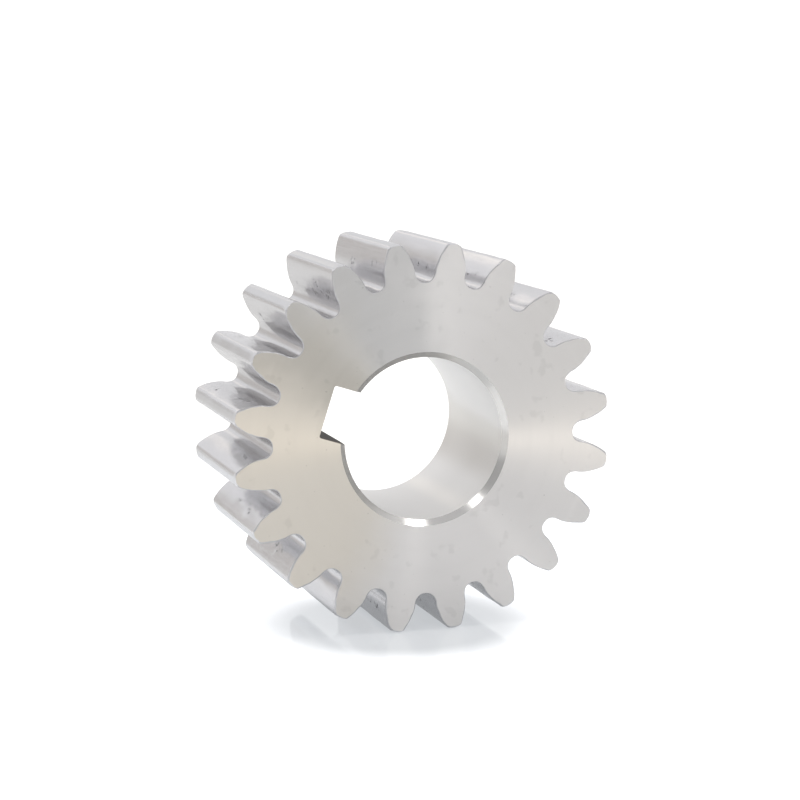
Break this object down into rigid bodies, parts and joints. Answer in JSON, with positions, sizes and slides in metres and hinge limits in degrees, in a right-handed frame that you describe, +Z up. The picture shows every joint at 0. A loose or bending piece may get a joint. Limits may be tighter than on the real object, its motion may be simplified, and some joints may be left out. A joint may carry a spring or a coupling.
{
  "type": "spur gear",
  "caption": "Solid steel spur gear with straight involute teeth, flat side faces, and a chamfered plain through bore with a keyway.",
  "frame": {"origin": "on the bore axis, at the middle of the face width", "axes": "+Y along the bore axis, away from the front side face; +Z up when the gear stands on two tooth tips; the keyway opens towards -X and 18 degrees above it"},
  "size_m": [0.0436, 0.02, 0.0436],
  "materials": {
    "machined_steel": "bare medium-carbon steel: satin turned side faces and bore, glossier hobbed teeth, polished bore chamfers"
  },
  "bodies": {
    "root": {"spur_gear": "machined_steel"}
  },
  "joints": []
}
